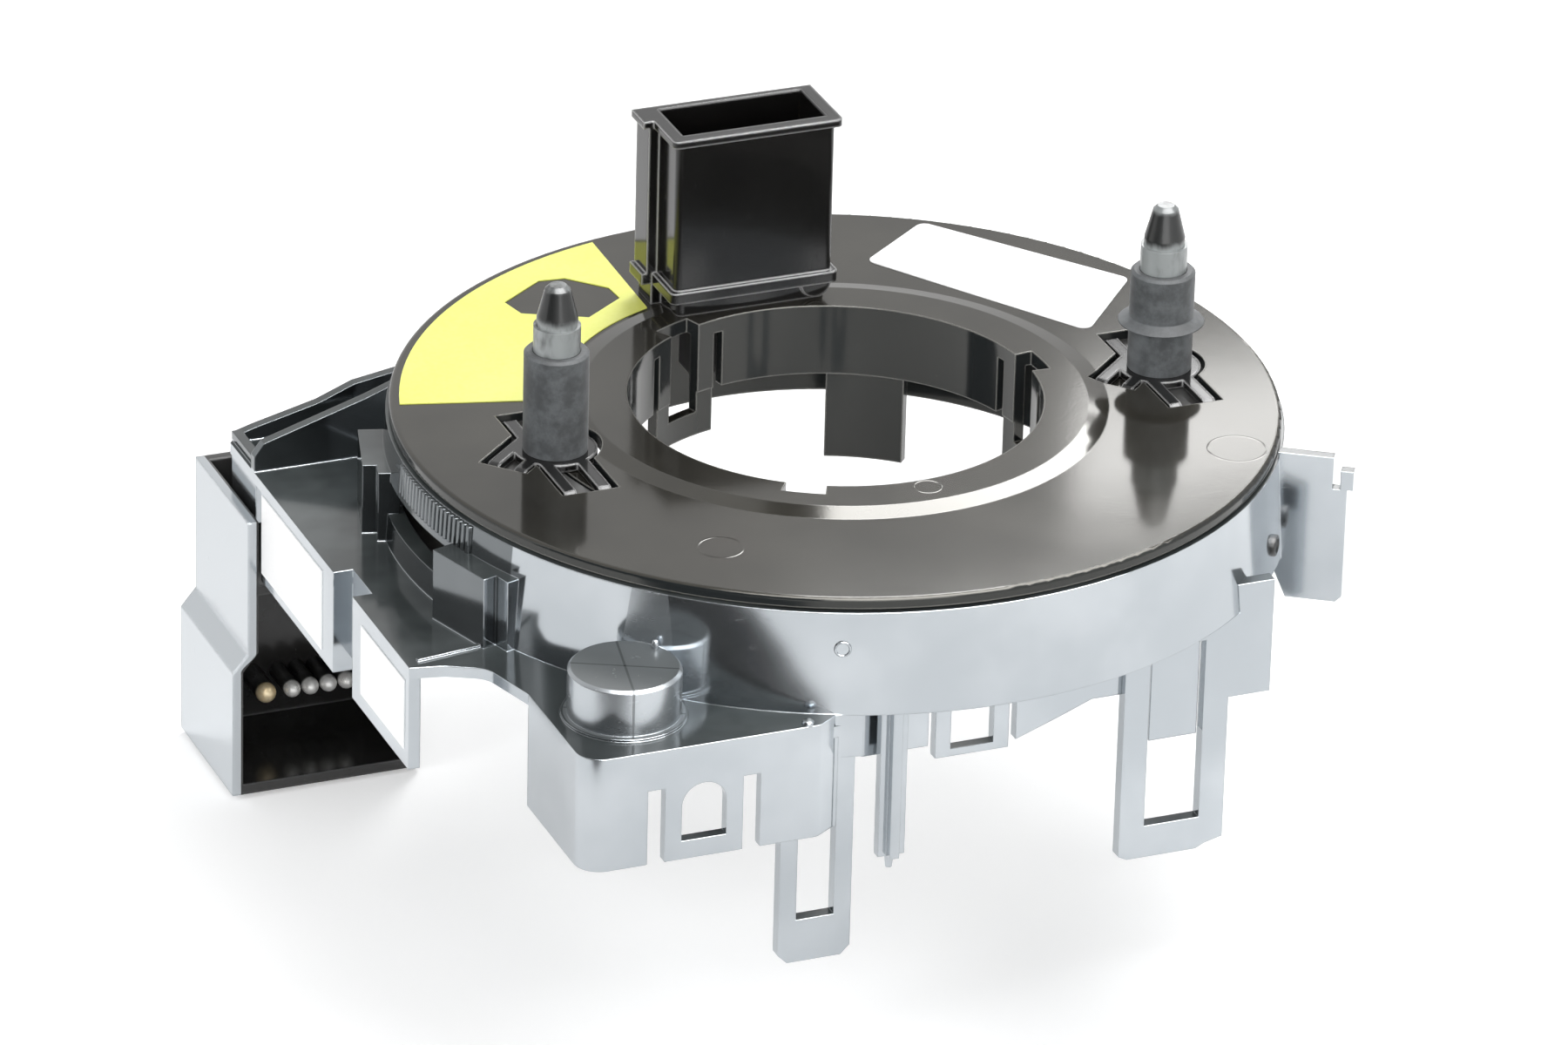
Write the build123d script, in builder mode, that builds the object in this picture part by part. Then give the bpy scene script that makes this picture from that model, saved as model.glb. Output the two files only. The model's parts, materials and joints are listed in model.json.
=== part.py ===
from build123d import *
from math import cos, degrees, pi, radians, sin
import os

os.makedirs("parts", exist_ok=True)

# Steering clock spring, in millimetres. The origin lies on the turning axis, in the top plane
# of the rotor disc. Z points up to the steering wheel, X to the right drive pin.

# Rotor disc
disc_radius = 52.0
disc_thickness = 1.3
bore_radius = 24.3
ring_height = 0.5
ring_flat_radius = 29.5
ring_foot_radius = 31.9
rim_round = 0.45
collar_wall = 1.3
collar_depth = 8.4

# Snap frames and tongue that hang in the bore
frame_angles = (2.0, 115.0, 240.0)
frame_sweep = 22.0
frame_window_sweep = 11.0
frame_depth = 14.0
frame_window_depth = 11.0
frame_slot = 1.2
frame_notch = 2.2
frame_setback = 0.2
tongue_angle = 59.0
tongue_sweep = 22.0
tongue_depth = 19.4

# Running gap between rotor and stator
running_gap = 0.3
seat_gap = 0.05

# Stator skirt and floor
skirt_lip = 0.4
skirt_flare = 0.8
skirt_wall = 1.5
floor_low = -14.1
floor_thickness = 1.4
drum_radius = 36.0
drum_wall = 1.4
drum_flange = 4.0
retainer_width = 2.0
retainer_thickness = 1.0

# Cable window in the skirt and the two blocks beside it
window_start = 169.0
window_end = 192.0
window_top = -6.4
window_low = -10.5
lip_radius = 54.2
lip_thickness = 0.7
block_angles = (163.5, 197.5)
block_length = 9.5
block_depth = 3.0
block_top = -5.2
block_step_depth = 1.3
block_step_reach = 2.2

# Mounting plate round the skirt
plate_top = -14.0
plate_thickness = 1.4
plate_left = -61.0
plate_back = 40.0
plate_inner_radius = 44.0
plate_round = 3.0
plate_shoulders = ((-57.0, -23.7), (-52.7, -25.9))
plate_chamfer = 1.0
ridge_y = -21.6
ridge_angle = 8.0
ridge_length = 13.0
ridge_width = 0.5
ridge_height = 0.3
wall = 1.4
cut_margin = 1.0

# Front bracket under the plate
bracket_left = -50.5
bracket_front = -51.2
bracket_back = -33.4
bracket_right = -22.4
bracket_low = -28.2
bracket_corner = 3.0
bracket_wave = ((-19.8, -49.5), (-16.4, -50.3))
bracket_wave_round = 0.7
bracket_curve_top = -19.4
bracket_curve_end = -18.9
bracket_curve_draft = 0.5
plate_tail_x = -14.4
slot_width = 2.1
slot_top = -18.9
clip_window_width = 5.4
clip_window_low = -25.9
clip_window_centre = -36.0
clip_width = 9.4
boss_x = -42.0
boss_y = -41.3
boss_radius = 6.5
boss_top = -8.0
boss_bore = 4.9
boss_ledge = 0.7

# Front snap leg
front_leg_left = -26.0
front_leg_right = -17.2
front_leg_low = -44.8
front_leg_window_low = -39.4
front_leg_face = -49.7
leg_rail = 2.1
leg_thickness = 1.6
leg_corner = 1.1

# Right snap leg and the wall that carries it
right_leg_left = 19.9
right_leg_right = 33.0
right_leg_low = -44.0
right_leg_window_low = -39.9
right_leg_offset = 4.7
right_leg_rail = 3.1
right_tongue_low = -29.2
right_wall_right = 38.2
right_wall_low = -24.8
right_wall_top = -10.4

# Lower front wall with its clip and the centring prong
low_wall_offset = 3.7
low_wall_left = -12.3
low_wall_low = -25.3
low_clip_left = -3.2
low_clip_right = 5.9
low_clip_low = -27.1
low_clip_rail = 1.9
low_gap = 0.9
low_wall_corner = 0.8
low_wall_slant = ((12.2, -24.3), (16.2, -22.7))
prong_x = -9.3
prong_offset = 5.5
prong_width = 3.3
prong_rib = 1.2
prong_low = -39.0
prong_tip = 1.7

# Fin on the right of the skirt
fin_angle = -33.0
fin_reach = 7.3
fin_rise = 1.1
fin_low = -19.0
fin_thickness = 1.3
fin_notch_depth = 4.0
fin_notch_width = 0.9
fin_tab_height = 2.4
fin_tab_width = 1.5
fin_corner = 0.7

# Harness box on the left
box_front = -22.9
box_back = 27.9
box_low = -27.0
channel_front = -3.9
channel_back = 2.7
channel_depth = 2.4
gusset_y = 31.0
gusset_wall = 1.2
gusset_steps = ((0.0, 2.0), (1.2, 3.6), (14.0, 7.6), (17.8, 9.0))
rear_steps = ((1.0, 1.0), (3.0, 1.6), (11.0, 3.6), (15.5, 5.4), (25.4, 7.0))
rear_side_inset = 0.4
rear_side_low = -21.0

# Harness socket behind and below the box
socket_left = -64.5
socket_right = -40.8
socket_front = 28.0
socket_back = 47.0
socket_low = -55.2
socket_shoulder = -38.9
socket_shoulder_rise = 2.3
socket_neck_left = -62.6
socket_neck_top = -19.3
socket_neck_right = -44.0
socket_ceiling = -29.0
socket_wall = 1.3
socket_cavity_depth = 16.8
pin_tip_depth = 12.0
harness_pin_size = 1.0
harness_pin_pitch = 2.3
harness_pin_count = 4
harness_pin_z = -48.3
harness_pin_start = -53.0
airbag_pin_x = -56.3
airbag_pin_radius = 0.65

# Connector shroud on the rotor
lead_block_length = 15.0
lead_block_height = 6.6
lead_block_gap = 0.5
lead_block_bevel = 0.4
shroud_left = -10.4
shroud_right = 9.6
shroud_front = bore_radius + 0.7
shroud_depth = 10.0
shroud_step_depth = 6.0
shroud_back = shroud_front + shroud_depth
shroud_low = 4.1
shroud_top = 23.8
shroud_wall = 1.0
shroud_corner = 1.5
shroud_step = 1.3
shroud_step_front = shroud_front + shroud_step_depth
shroud_rim = 0.7
shroud_rim_height = 0.9
ledge_outset = 0.6
ledge_height = 1.4
half_round_x = 7.6
half_round_radius = 1.9
half_round_thickness = 0.5
contact_floor = 9.0
contact_pitch = 2.6
contact_columns = 6
contact_rows = 2
contact_row_pitch = 3.0
contact_size = 0.64
contact_height = 6.0

# Drive pins with rubber sleeves
pin_inset_left = 16.7
pin_inset_right = 12.3
pin_places = {"left": (pin_inset_left - disc_radius, -1.1), "right": (disc_radius - pin_inset_right, -3.4)}
sleeve_radius = 3.8
sleeve_top = 12.2
sleeve_wall = 1.0
pin_collar_radius = 2.75
pin_collar_top = 15.4
pin_cone_radius = 2.4
pin_tip_radius = 1.5
pin_height = 20.4
lip_radius = 5.1
lip_low = 5.6
lip_height = 0.8
carrier_radius = 4.9
carrier_recess = 0.25
carrier_thickness = 0.9
carrier_gap = 0.5
strip_width = 1.5
strip_bevel = 0.7
strip_bevel_length = 1.3
strip_margin = 0.6

# Spring strips of each pin carrier, in pairs: their directions, sideways places and reach
strip_angles = (270, 222, 90)
strip_offsets = ((-2.5, 1.7), (-4.2, -0.8), (-1.7, 2.5))
strip_reaches = {"left": (12.6, 8.2, 9.5), "right": (11.6, 8.2, 9.5)}

# Flat cable and slide foils
foil_thickness = 0.2
foil_margin = 0.5
cable_thickness = 0.35
cable_half_turns = 14
cable_end_angle = 150.0
terminal_depth = 0.8
outer_terminal_depth = 1.4
terminal_height = 7.0
terminal_sweep = 9.0

# Labels
label_thickness = 0.12
label_rim_margin = 1.2
label_outer_radius = disc_radius - label_rim_margin
label_foot_margin = 0.5
label_inner_radius = ring_foot_radius + label_foot_margin
label_start = 103.0
label_end = 163.0
label_inner_start = 111.5
label_inner_sweep = 50.5
label_window_angle = 119.0
label_window_offsets = (
    (-7.2, 0.6), (-1.2, 5.0), (2.0, 4.7), (6.0, 0.5), (6.2, -2.7), (0.8, -6.6), (-6.4, -3.0),
)
white_label_corners = ((28.3, 42.1), (17.8, 34.0), (35.3, 7.3), (45.7, 19.2))
housing_labels = {
    "housing_label": (6.5, 27.5, -25.8, -15.6),
    "housing_label_small": (-21.5, -7.0, -25.0, -16.2),
}

harness_pin_places = [harness_pin_start + i * harness_pin_pitch for i in range(harness_pin_count)]

disc_low = -disc_thickness
floor_top = floor_low + floor_thickness
plate_low = plate_top - plate_thickness
skirt_top_radius = disc_radius + skirt_lip
skirt_low_radius = skirt_top_radius + skirt_flare
skirt_inner_radius = skirt_top_radius - skirt_wall
floor_bore_radius = drum_radius + running_gap
low_wall_face = -floor_bore_radius - low_wall_offset
right_leg_face = -floor_bore_radius - right_leg_offset
prong_y = -floor_bore_radius - prong_offset
skirt_top = disc_low - running_gap
fin_top = skirt_top + fin_rise
retainer_top = floor_low - running_gap
retainer_low = retainer_top - retainer_thickness
cable_top = disc_low - foil_thickness - running_gap
cable_low = floor_top + foil_thickness + running_gap


def slab(low, high):
    """A box between two corners, given as (x, y, z)."""
    with BuildPart() as block:
        with Locations(tuple((a + b) / 2 for a, b in zip(low, high))):
            Box(high[0] - low[0], high[1] - low[1], high[2] - low[2])
    return block.part


def ring_sector(radius_in, radius_out, centre_angle, sweep, z_low, z_high):
    """A piece of a ring, centred on an angle."""
    start = centre_angle - sweep / 2
    with BuildPart() as block:
        with BuildSketch(Plane.XY.offset(z_low)):
            with BuildLine():
                inner = CenterArc((0, 0), radius_in, start, sweep)
                outer = CenterArc((0, 0), radius_out, start, sweep)
                Line(inner @ 0, outer @ 0)
                Line(inner @ 1, outer @ 1)
            make_face()
        extrude(amount=z_high - z_low)
    return block.part


def ring(radius_in, radius_out, z_low, z_high):
    """A plain ring round the turning axis."""
    with BuildPart() as block:
        with BuildSketch(Plane.XY.offset(z_low)):
            Circle(radius_out)
            if radius_in > 0:
                Circle(radius_in, mode=Mode.SUBTRACT)
        extrude(amount=z_high - z_low)
    return block.part


def upright_wall(points, y_front, y_back):
    """A wall across Y, its outline given as (x, z) points."""
    with BuildPart() as block:
        with BuildSketch(Plane.XZ.offset(-y_back)):
            with BuildLine():
                Polyline(*points, close=True)
            make_face()
        extrude(amount=y_back - y_front)
    return block.part


def strip(place, angle, offset, length, width, z_low, z_high, bevel):
    """A straight bar that leaves a place at an angle, moved sideways by an offset, its end bevelled."""
    bevel_length, bevel_height = bevel
    points = ((0, z_low), (length, z_low), (length, z_high - bevel_height),
              (length - bevel_length, z_high), (0, z_high))
    bar = upright_wall(points, offset - width / 2, offset + width / 2)
    return bar.moved(Location((place[0], place[1], 0), (0, 0, angle)))


# Rotor disc: thin plate with a raised ring, a collar in the bore, three snap frames and a tongue
with BuildPart() as rotor_disc:
    with BuildSketch(Plane.XZ):
        with BuildLine():
            Polyline(
                (bore_radius, ring_height),
                (ring_flat_radius, ring_height),
                (ring_foot_radius, 0),
                (disc_radius - rim_round, 0),
            )
            ThreePointArc(
                (disc_radius - rim_round, 0),
                (disc_radius - rim_round * (1 - sin(pi / 4)), -rim_round * (1 - sin(pi / 4))),
                (disc_radius, -rim_round),
            )
            Polyline(
                (disc_radius, -rim_round),
                (disc_radius, disc_low),
                (bore_radius + collar_wall, disc_low),
                (bore_radius + collar_wall, -collar_depth),
                (bore_radius, -collar_depth),
                (bore_radius, ring_height),
            )
        make_face()
    revolve(axis=Axis.Z)
    frame_radius = bore_radius + frame_setback
    add(ring_sector(frame_radius, frame_radius + collar_wall, tongue_angle, tongue_sweep,
                    -tongue_depth, disc_low / 2))
    slot_sweep = degrees(frame_slot / bore_radius)
    for angle in frame_angles:
        add(ring_sector(frame_radius, frame_radius + collar_wall, angle, frame_sweep,
                        -frame_depth, disc_low / 2))
        add(ring_sector(bore_radius / 2, bore_radius + frame_notch, angle, frame_window_sweep,
                        -frame_window_depth, ring_height * 2), mode=Mode.SUBTRACT)
        for side in (-1, 1):
            gap_angle = angle + side * (frame_sweep + slot_sweep) / 2
            add(ring_sector(bore_radius / 2, bore_radius + collar_wall * 2, gap_angle, slot_sweep,
                            -frame_depth - cut_margin, disc_low), mode=Mode.SUBTRACT)
    for side, place in pin_places.items():
        with BuildSketch(Plane.XY.offset(disc_low * 2)):
            with Locations(place):
                Circle(carrier_radius + carrier_gap)
        extrude(amount=disc_thickness * 3, mode=Mode.SUBTRACT)
        for angle, offsets, reach in zip(strip_angles, strip_offsets, strip_reaches[side]):
            middle = sum(offsets) / 2
            width = offsets[1] - offsets[0] + strip_width + 2 * strip_margin
            add(strip(place, angle, middle, reach + seat_gap, width, disc_low * 2, ring_height,
                      (seat_gap, seat_gap)), mode=Mode.SUBTRACT)
rotor_disc.part.label = "rotor_disc"
export_step(rotor_disc.part, "parts/rotor_disc.step")


# Pin carriers: a hub in the disc opening, held by pairs of sprung strips with bevelled ends
for side, place in pin_places.items():
    with BuildPart() as pin_carrier:
        with BuildSketch(Plane.XY.offset(-carrier_recess - carrier_thickness)):
            with Locations(place):
                Circle(carrier_radius)
        extrude(amount=carrier_thickness)
        for angle, offsets, reach in zip(strip_angles, strip_offsets, strip_reaches[side]):
            for offset in offsets:
                add(strip(place, angle, offset, reach, strip_width,
                          -carrier_recess - carrier_thickness, -carrier_recess,
                          (strip_bevel_length, strip_bevel)))
    pin_carrier.part.label = f"pin_carrier_{side}"
    export_step(pin_carrier.part, f"parts/pin_carrier_{side}.step")


# Drive pins: a turned pin with a waist, a collar and a blunt cone
for side, place in pin_places.items():
    with BuildPart() as drive_pin:
        with BuildSketch(Plane.XZ):
            with BuildLine():
                Polyline(
                    (0, -carrier_recess),
                    (sleeve_radius - sleeve_wall - seat_gap, -carrier_recess),
                    (sleeve_radius - sleeve_wall - seat_gap, sleeve_top - sleeve_wall),
                    (pin_tip_radius, sleeve_top - sleeve_wall),
                    (pin_tip_radius, sleeve_top),
                    (pin_collar_radius, sleeve_top),
                    (pin_collar_radius, pin_collar_top),
                    (pin_cone_radius, pin_collar_top),
                    (pin_cone_radius, pin_collar_top + sleeve_wall),
                    (pin_tip_radius, pin_height - sleeve_wall / 2),
                    (pin_tip_radius - sleeve_wall / 2, pin_height),
                    (0, pin_height),
                    close=True,
                )
            make_face()
        revolve(axis=Axis.Z)
    pin = drive_pin.part.moved(Location((place[0], place[1], 0)))
    pin.label = f"drive_pin_{side}"
    export_step(pin, f"parts/drive_pin_{side}.step")


# Rubber sleeves, the right one with a lip above the disc
for side, place in pin_places.items():
    sleeve_inner_radius = sleeve_radius - sleeve_wall
    with BuildPart() as pin_sleeve:
        with BuildSketch(Plane.XY.offset(-carrier_recess)):
            with Locations(place):
                Circle(sleeve_radius)
                Circle(sleeve_inner_radius, mode=Mode.SUBTRACT)
        extrude(amount=sleeve_top + carrier_recess)
        rim = pin_sleeve.edges().filter_by(GeomType.CIRCLE).group_by(Axis.Z)[-1].sort_by(Edge.length)[-1]
        chamfer(rim, sleeve_wall / 3)
        if side == "right":
            with Locations((place[0], place[1], lip_low)):
                Cone(lip_radius, sleeve_radius, lip_height, align=(Align.CENTER, Align.CENTER, Align.MIN))
                Cylinder(sleeve_inner_radius, lip_height * 3, mode=Mode.SUBTRACT)
    pin_sleeve.part.label = f"pin_sleeve_{side}"
    export_step(pin_sleeve.part, f"parts/pin_sleeve_{side}.step")


# Cable drum: hangs from the disc and carries the inner end of the flat cable
with BuildPart() as cable_drum:
    with BuildSketch(Plane.XZ):
        with BuildLine():
            Polyline(
                (drum_radius - drum_wall, retainer_low),
                (drum_radius, retainer_low),
                (drum_radius, disc_low),
                (drum_radius - drum_flange, disc_low),
                (drum_radius - drum_flange, disc_low - drum_wall),
                (drum_radius - drum_wall, disc_low - drum_wall),
                close=True,
            )
        make_face()
    revolve(axis=Axis.Z)
cable_drum.part.label = "cable_drum"
export_step(cable_drum.part, "parts/cable_drum.step")


# Retaining ring: snapped on the drum below the stator floor, with lead-in chamfer
with BuildPart() as retaining_ring:
    add(ring(drum_radius + seat_gap, drum_radius + retainer_width, retainer_low, retainer_top))
    low_edges = retaining_ring.edges().filter_by(GeomType.CIRCLE).group_by(Axis.Z)[0]
    chamfer(low_edges.sort_by(Edge.length)[-1], retainer_thickness / 3)
retaining_ring.part.label = "retaining_ring"
export_step(retaining_ring.part, "parts/retaining_ring.step")


# Slide foils above and below the flat cable
foil_outer_radius = skirt_inner_radius - foil_margin
foil_inner_radius = drum_radius + foil_margin
upper_slide_foil = ring(foil_inner_radius, foil_outer_radius, disc_low - foil_thickness, disc_low)
upper_slide_foil.label = "upper_slide_foil"
export_step(upper_slide_foil, "parts/upper_slide_foil.step")
lower_slide_foil = ring(foil_inner_radius + foil_margin, foil_outer_radius, floor_top,
                        floor_top + foil_thickness)
lower_slide_foil.label = "lower_slide_foil"
export_step(lower_slide_foil, "parts/lower_slide_foil.step")


# Flat cable: a spiral of half turns about two centres that fills the room between its ends
cable_room_in = drum_radius + terminal_depth + running_gap
cable_room_out = skirt_inner_radius - outer_terminal_depth - running_gap
turn_shift = (cable_room_out - cable_room_in - cable_thickness) / (2 * cable_half_turns)
cable_inner_radius = cable_room_in + cable_thickness / 2 + turn_shift


def cable_edge(side_offset):
    """One long edge of the spiral, as half circles that meet on the X axis."""
    edges = []
    for turn in range(cable_half_turns):
        radius = cable_inner_radius + turn * turn_shift * 2 + side_offset
        centre = turn_shift if turn % 2 else -turn_shift
        start_angle = 180 if turn % 2 else 0
        edges.append(CenterArc((centre, 0), radius, start_angle, 180))
    return edges


with BuildPart() as flat_cable:
    with BuildSketch(Plane.XY.offset(cable_low)):
        with BuildLine():
            inner_edges = cable_edge(-cable_thickness / 2)
            outer_edges = cable_edge(cable_thickness / 2)
            Line(inner_edges[0] @ 0, outer_edges[0] @ 0)
            Line(inner_edges[-1] @ 1, outer_edges[-1] @ 1)
        make_face()
    extrude(amount=cable_top - cable_low)
cable = flat_cable.part.rotate(Axis.Z, cable_end_angle)
cable.label = "flat_cable"
export_step(cable, "parts/flat_cable.step")


# Cable ends: one block on the drum, one in the stator chamber
inner_terminal = ring_sector(drum_radius + seat_gap, drum_radius + terminal_depth, cable_end_angle,
                             terminal_sweep, cable_low + terminal_depth, cable_low + terminal_height)
inner_terminal.label = "inner_terminal"
export_step(inner_terminal, "parts/inner_terminal.step")
outer_terminal = ring_sector(skirt_inner_radius - outer_terminal_depth,
                             skirt_inner_radius - seat_gap, cable_end_angle, terminal_sweep,
                             floor_top + foil_thickness + seat_gap, floor_top + terminal_height)
outer_terminal.label = "outer_terminal"
export_step(outer_terminal, "parts/outer_terminal.step")


# Boss of the mounting plate, a cup turned round its own axis
with BuildPart() as boss:
    with BuildSketch(Plane.XZ):
        with BuildLine():
            Polyline(
                (0, plate_low),
                (boss_radius + boss_ledge, plate_low),
                (boss_radius + boss_ledge, plate_top + boss_ledge / 2),
                (boss_radius, plate_top + boss_ledge / 2),
                (boss_radius, boss_top - boss_ledge / 2),
                (boss_radius - boss_ledge / 2, boss_top),
                (0, boss_top),
                close=True,
            )
        make_face()
    revolve(axis=Axis.Z)


# Stator housing: skirt with floor, mounting plate with its boss, fin and gusset walls. The walls and
# legs that hang below it belong to the same moulding and are nodes of their own that meet its low faces.
bracket_path = (
    (bracket_left + wall / 2, bracket_back),
    (bracket_left + wall / 2, bracket_front + wall / 2),
    (bracket_right, bracket_front + wall / 2),
    *((x, y + wall / 2) for x, y in bracket_wave),
)
bracket_rounds = [bracket_corner - wall / 2, bracket_wave_round, bracket_wave_round]


def bracket_band(z_low, z_high):
    """The bracket's wall between two heights: left side, rounded corner, front, curve under the skirt."""
    with BuildPart() as band:
        with BuildSketch(Plane.XY.offset(z_low)):
            with BuildLine():
                FilletPolyline(*bracket_path, radius=bracket_rounds)
            trace(line_width=wall)
        extrude(amount=z_high - z_low)
    return band.part


with BuildPart() as stator_housing:
    with BuildSketch(Plane.XZ):
        with BuildLine():
            Polyline(
                (skirt_low_radius, floor_low),
                (skirt_top_radius, skirt_top),
                (skirt_inner_radius, skirt_top),
                (skirt_inner_radius, floor_top),
                (floor_bore_radius, floor_top),
                (floor_bore_radius, floor_low),
                close=True,
            )
        make_face()
    revolve(axis=Axis.Z)

    # Cable window with its two blocks
    window_middle = (window_start + window_end) / 2
    add(ring_sector(skirt_inner_radius - cut_margin, skirt_low_radius + cut_margin, window_middle,
                    window_end - window_start, window_low, window_top), mode=Mode.SUBTRACT)
    for lip_top in (window_top + lip_thickness, window_low):
        add(ring_sector(skirt_inner_radius + wall / 2, lip_radius, window_middle,
                        block_angles[1] - block_angles[0], lip_top - lip_thickness, lip_top))
    for angle in block_angles:
        for depth, reach in ((block_depth, 0), (block_step_depth, block_step_reach)):
            low_corner = (skirt_inner_radius, -block_length / 2, plate_low)
            high_corner = (skirt_top_radius + depth, block_length / 2 + reach, block_top)
            block = slab(low_corner, high_corner) - ring(0, skirt_inner_radius + wall / 2, plate_low * 2, 0)
            add(block.rotate(Axis.Z, angle))

    # Mounting plate with its waved front edge
    with BuildSketch(Plane.XY.offset(plate_low)):
        with BuildLine():
            left_edge = FilletPolyline(
                (plate_left, box_front),
                *plate_shoulders,
                (bracket_left, bracket_back),
                radius=plate_round,
            )
            front_edge = FilletPolyline(*bracket_path, radius=bracket_rounds)
            Line(left_edge @ 1, front_edge @ 0)
            Polyline(
                front_edge @ 1,
                (plate_tail_x, 1 - plate_inner_radius),
                (-plate_inner_radius / 2, 0),
                (-plate_inner_radius / 2, plate_back),
                (plate_left + plate_chamfer, plate_back),
                (plate_left, plate_back - plate_chamfer),
                left_edge @ 0,
            )
        make_face()
        Circle(plate_inner_radius, mode=Mode.SUBTRACT)
    extrude(amount=plate_thickness)

    # Low ridge across the plate, from the box's front corner towards the skirt
    ridge_bar = slab((0, -ridge_width / 2, plate_top - ridge_height), (ridge_length, ridge_width / 2,
                     plate_top + ridge_height))
    add(ridge_bar.moved(Location((plate_left + wall, ridge_y, 0), (0, 0, ridge_angle))))

    # Boss on the plate, hollow from below, with a small ledge round its foot
    add(boss.part.moved(Location((boss_x, boss_y, 0))))
    with BuildSketch(Plane.XY.offset(plate_low)):
        with Locations((boss_x, boss_y)):
            Circle(boss_bore)
    extrude(amount=boss_top - plate_low - wall, mode=Mode.SUBTRACT)

    # The bracket's wall carries on up through the plate
    add(bracket_band(plate_low, plate_top))

    # Radial fin on the right of the skirt with a stepped end and a small upright tab
    fin_outer = skirt_low_radius + fin_reach
    fin_tab_inner = fin_outer + fin_corner - fin_tab_width
    fin_notch_low = fin_top - fin_notch_depth
    fin = upright_wall(
        (
            (skirt_top_radius - wall / 2, floor_low),
            (skirt_low_radius + fin_corner, fin_low),
            (fin_outer - fin_corner, fin_low),
            (fin_outer, fin_low + fin_corner),
            (fin_outer, fin_notch_low),
            (fin_outer + fin_corner, fin_notch_low),
            (fin_outer + fin_corner, fin_notch_low + fin_tab_height),
            (fin_tab_inner, fin_notch_low + fin_tab_height),
            (fin_tab_inner, fin_notch_low),
            (fin_tab_inner - fin_notch_width, fin_notch_low),
            (fin_tab_inner - fin_notch_width, fin_top),
            (skirt_top_radius - wall / 2, fin_top),
        ), -fin_thickness / 2, fin_thickness / 2)
    add(fin.rotate(Axis.Z, fin_angle))

    # Notch of the box's channel, and upright gusset walls on the plate
    add(slab((plate_left - cut_margin, channel_front, plate_low - cut_margin),
             (plate_left + channel_depth, channel_back, plate_top + cut_margin)), mode=Mode.SUBTRACT)
    for steps, y_low, y_high in (
        (gusset_steps, gusset_y - gusset_wall / 2, gusset_y + gusset_wall / 2),
        (rear_steps, plate_back - gusset_wall, plate_back),
    ):
        ridge = [(plate_left + step_x, plate_top + step_z) for step_x, step_z in steps]
        add(upright_wall(((ridge[0][0], plate_low), *ridge, (ridge[-1][0], plate_low)), y_low, y_high))
    rear_side = plate_left + rear_side_inset
    add(slab((rear_side, gusset_y, rear_side_low),
             (rear_side + gusset_wall, plate_back - rear_side_inset, plate_top + gusset_wall)))

    # Room for the cable chamber and the turning disc
    add(ring(0, skirt_inner_radius, floor_top, 0), mode=Mode.SUBTRACT)
    add(ring(0, disc_radius + running_gap, skirt_top, cut_margin), mode=Mode.SUBTRACT)
stator_housing.part.label = "stator_housing"
export_step(stator_housing.part, "parts/stator_housing.step")


# Front bracket: its wall with an arched clip window, and the snap leg just behind it
with BuildPart() as front_bracket:
    add(bracket_band(bracket_low, plate_low))
    clip_left = clip_window_centre - clip_width / 2
    clip_right = clip_window_centre + clip_width / 2
    for slot_low_x in (clip_left - slot_width, clip_right):
        add(slab((slot_low_x, bracket_front - cut_margin, bracket_low - cut_margin),
                 (slot_low_x + slot_width, bracket_front + wall + cut_margin, slot_top)),
            mode=Mode.SUBTRACT)
    with BuildSketch(Plane.XZ.offset(-bracket_front - wall - cut_margin)):
        with BuildLine():
            window_half = clip_window_width / 2
            Polyline(
                (clip_window_centre - window_half, slot_top - window_half),
                (clip_window_centre - window_half, clip_window_low),
                (clip_window_centre + window_half, clip_window_low),
                (clip_window_centre + window_half, slot_top - window_half),
            )
            ThreePointArc(
                (clip_window_centre + window_half, slot_top - window_half),
                (clip_window_centre, slot_top),
                (clip_window_centre - window_half, slot_top - window_half),
            )
        make_face()
    extrude(amount=wall + 2 * cut_margin, mode=Mode.SUBTRACT)
    with BuildSketch(Plane.XZ.offset(-bracket_front - wall * 3)):
        with BuildLine():
            Polyline(
                (bracket_curve_end, bracket_curve_top),
                (bracket_curve_end - bracket_curve_draft, bracket_low - cut_margin),
                (plate_tail_x, bracket_low - cut_margin),
                (plate_tail_x, bracket_curve_top),
                close=True,
            )
        make_face()
    extrude(amount=wall * 4, mode=Mode.SUBTRACT)

    # Front snap leg, a frame that hangs from the plate
    with BuildSketch(Plane.XZ.offset(-front_leg_face - leg_thickness)):
        with BuildLine():
            Polyline(
                (front_leg_left, plate_low),
                (front_leg_left, front_leg_low + leg_corner),
                (front_leg_left + leg_corner, front_leg_low),
                (front_leg_right - leg_corner, front_leg_low),
                (front_leg_right, front_leg_low + leg_corner),
                (front_leg_right, plate_low),
                close=True,
            )
        make_face()
        with BuildLine():
            Polyline(
                (front_leg_left + leg_rail, plate_low - wall),
                (front_leg_left + leg_rail, front_leg_window_low),
                (front_leg_right - leg_rail, front_leg_window_low),
                (front_leg_right - leg_rail, plate_low - wall),
                close=True,
            )
        make_face(mode=Mode.SUBTRACT)
    extrude(amount=leg_thickness)
front_bracket.part.label = "front_bracket"
export_step(front_bracket.part, "parts/front_bracket.step")


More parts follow.
